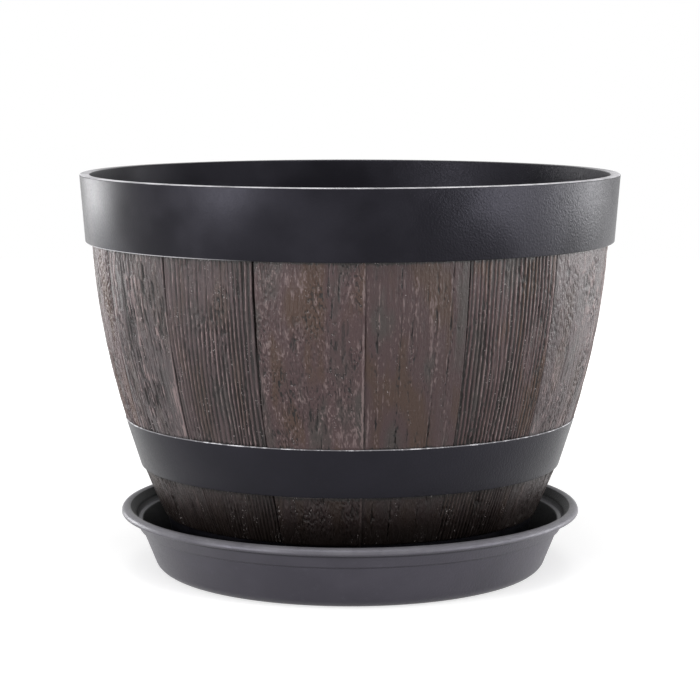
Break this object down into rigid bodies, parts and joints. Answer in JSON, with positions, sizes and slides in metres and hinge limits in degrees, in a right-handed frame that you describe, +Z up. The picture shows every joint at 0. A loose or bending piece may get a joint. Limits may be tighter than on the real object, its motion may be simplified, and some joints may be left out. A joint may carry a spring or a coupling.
{
  "type": "barrel planter",
  "caption": "Moulded plastic plant pot shaped as a half barrel, with wood-effect staves between dark bands, standing in a loose round saucer.",
  "frame": {"origin": "on the common vertical axis of the pot and the saucer, in the plane that the saucer's foot stands on", "axes": "+Z up along the axis; -Y is the side that faces the viewer in the picture, +X is the viewer's right"},
  "size_m": [0.2298, 0.2298, 0.1704],
  "materials": {
    "barrel_moulding": "dark charcoal moulding, its staves dry-brushed brown like old wood",
    "saucer_moulding": "satin charcoal moulding"
  },
  "bodies": {
    "saucer": {"saucer": "saucer_moulding"},
    "pot": {"barrel_pot": "barrel_moulding"}
  },
  "joints": [
    {"name": "pot_lift", "type": "slide", "parent": "saucer", "child": "pot", "axis": [0, 0, 1], "range_m": [0, 0.06]}
  ]
}
